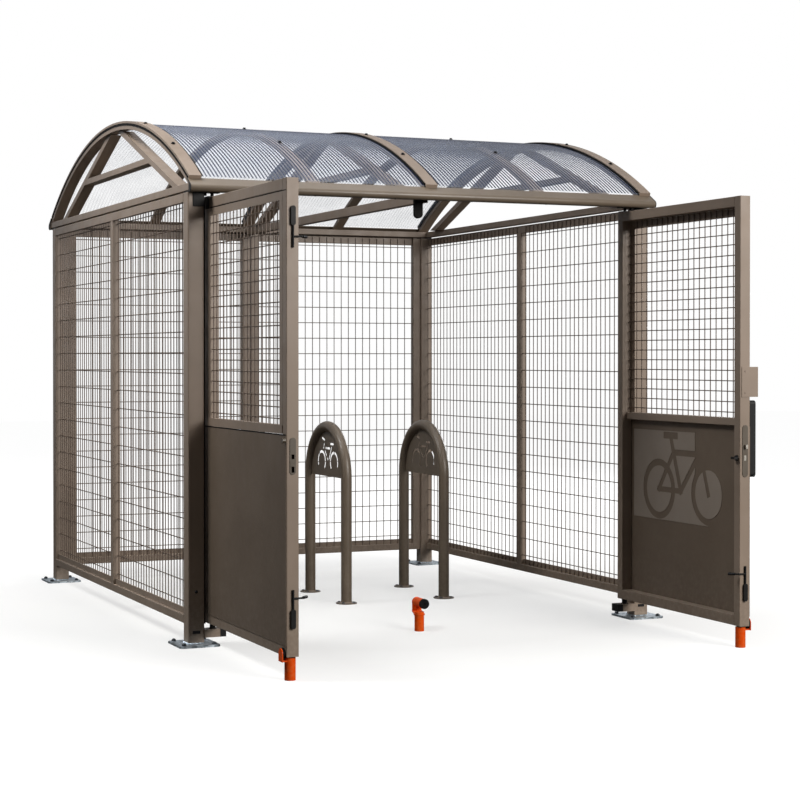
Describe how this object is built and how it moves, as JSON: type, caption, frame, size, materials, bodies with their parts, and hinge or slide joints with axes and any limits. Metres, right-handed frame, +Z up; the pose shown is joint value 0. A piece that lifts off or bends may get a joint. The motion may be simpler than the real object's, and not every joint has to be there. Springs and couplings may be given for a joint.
{
  "type": "cycle storage compound",
  "caption": "Walk-in steel mesh compound with a corrugated barrel roof, two outward opening doors with shoot bolts and a lock, floor stops and cycle hoops.",
  "frame": {"origin": "on the ground, at the middle of the outline with both doors open", "axes": "+X to the right seen from the doors, +Y from the doors to the rear wall, +Z up"},
  "size_m": [2.64, 4.0234, 2.6458],
  "materials": {
    "frame_paint": "satin powder coat",
    "mesh_paint": "satin powder coat",
    "galvanised": "hot dip galvanised",
    "roof_sheet": "clear, blue tint",
    "black_plastic": "moulded",
    "black_steel": "black",
    "bright_steel": "satin",
    "rubber": "moulded",
    "orange_paint": "gloss powder coat",
    "sign_paint": "satin powder coat"
  },
  "bodies": {
    "enclosure": {"corner_posts": "frame_paint", "base_plates": "galvanised", "post_pads": "black_plastic", "side_tie_beams": "frame_paint", "middle_tie_beam": "frame_paint", "front_eave_beam": "frame_paint", "rear_eave_beam": "frame_paint", "gutters": "frame_paint", "gutter_end_caps": "black_plastic", "left_truss": "frame_paint", "middle_truss": "frame_paint", "right_truss": "frame_paint", "gable_arches": "frame_paint", "inner_arches": "frame_paint", "cover_bands": "frame_paint", "left_roof_sheet": "roof_sheet", "right_roof_sheet": "roof_sheet", "roof_bolts": "black_steel", "left_wall_frame": "frame_paint", "right_wall_frame": "frame_paint", "rear_wall_frames": "frame_paint", "left_wall_mesh": "mesh_paint", "right_wall_mesh": "mesh_paint", "rear_wall_mesh": "mesh_paint", "pivot_brackets": "frame_paint", "bracket_caps": "black_plastic", "pivot_washers": "black_steel", "pivot_plates": "black_steel", "post_cover_plates": "black_steel", "head_stop": "rubber", "floor_stops": "orange_paint", "stop_rubbers": "rubber", "cycle_hoops": "frame_paint"},
    "left_door": {"left_door_frame": "frame_paint", "left_door_mesh": "mesh_paint", "left_door_sheet": "frame_paint", "left_pivot_pins": "black_steel", "left_pivot_block": "black_steel", "left_bolt_guides": "black_steel", "strike_plate": "black_steel"},
    "left_upper_shoot_bolt": {"left_upper_bolt": "black_steel", "left_upper_grip": "black_plastic"},
    "left_lower_shoot_bolt": {"left_lower_bolt": "black_steel", "left_lower_grip": "black_plastic"},
    "right_door": {"right_door_frame": "frame_paint", "right_door_mesh": "mesh_paint", "right_door_sheet": "frame_paint", "cycle_sign": "sign_paint", "right_pivot_pins": "black_steel", "right_pivot_block": "black_steel", "right_bolt_guide": "black_steel", "lock_case": "bright_steel", "guard_plate": "frame_paint", "pull_handle": "black_plastic"},
    "right_lower_shoot_bolt": {"right_lower_bolt": "black_steel", "right_lower_grip": "black_plastic"},
    "latch": {"latch_bolt": "bright_steel"},
    "dead_bolt_body": {"dead_bolt": "bright_steel"},
    "thumb_turn_body": {"thumb_turn": "black_plastic"},
    "key_plug_body": {"key_plug": "bright_steel"}
  },
  "joints": [
    {"name": "left_door_swing", "type": "hinge", "parent": "enclosure", "child": "left_door", "pos_m": [-1.133, -0.87575, 0], "axis": [0, 0, 1], "range_deg": [0, 90]},
    {"name": "right_door_swing", "type": "hinge", "parent": "enclosure", "child": "right_door", "pos_m": [1.133, -0.87575, 0], "axis": [0, 0, 1], "range_deg": [-90, 0]},
    {"name": "left_upper_bolt_slide", "type": "slide", "parent": "left_door", "child": "left_upper_shoot_bolt", "axis": [0, 0, 1], "range_m": [0, 0.04]},
    {"name": "left_lower_bolt_slide", "type": "slide", "parent": "left_door", "child": "left_lower_shoot_bolt", "axis": [0, 0, 1], "range_m": [-0.04, 0]},
    {"name": "right_lower_bolt_slide", "type": "slide", "parent": "right_door", "child": "right_lower_shoot_bolt", "axis": [0, 0, 1], "range_m": [-0.04, 0]},
    {"name": "thumb_turn_spin", "type": "hinge", "parent": "right_door", "child": "thumb_turn_body", "pos_m": [1.104, -1.96975, 0.898], "axis": [1, 0, 0], "range_deg": [0, 90]},
    {"name": "key_plug_spin", "type": "hinge", "parent": "right_door", "child": "key_plug_body", "pos_m": [1.15, -1.96975, 0.898], "axis": [1, 0, 0], "range_deg": [0, 90]},
    {"name": "dead_bolt_slide", "type": "slide", "parent": "right_door", "child": "dead_bolt_body", "axis": [0, -1, 0], "range_m": [0, 0.028]},
    {"name": "latch_slide", "type": "slide", "parent": "right_door", "child": "latch", "axis": [0, 1, 0], "range_m": [0, 0.016], "stiffness_N_per_m": 300, "springref_m": -0.006}
  ],
  "couplings": [
    {"joint": "thumb_turn_spin", "follows": "dead_bolt_slide", "rad_per_m": 56.09},
    {"joint": "key_plug_spin", "follows": "dead_bolt_slide", "rad_per_m": 56.09}
  ]
}
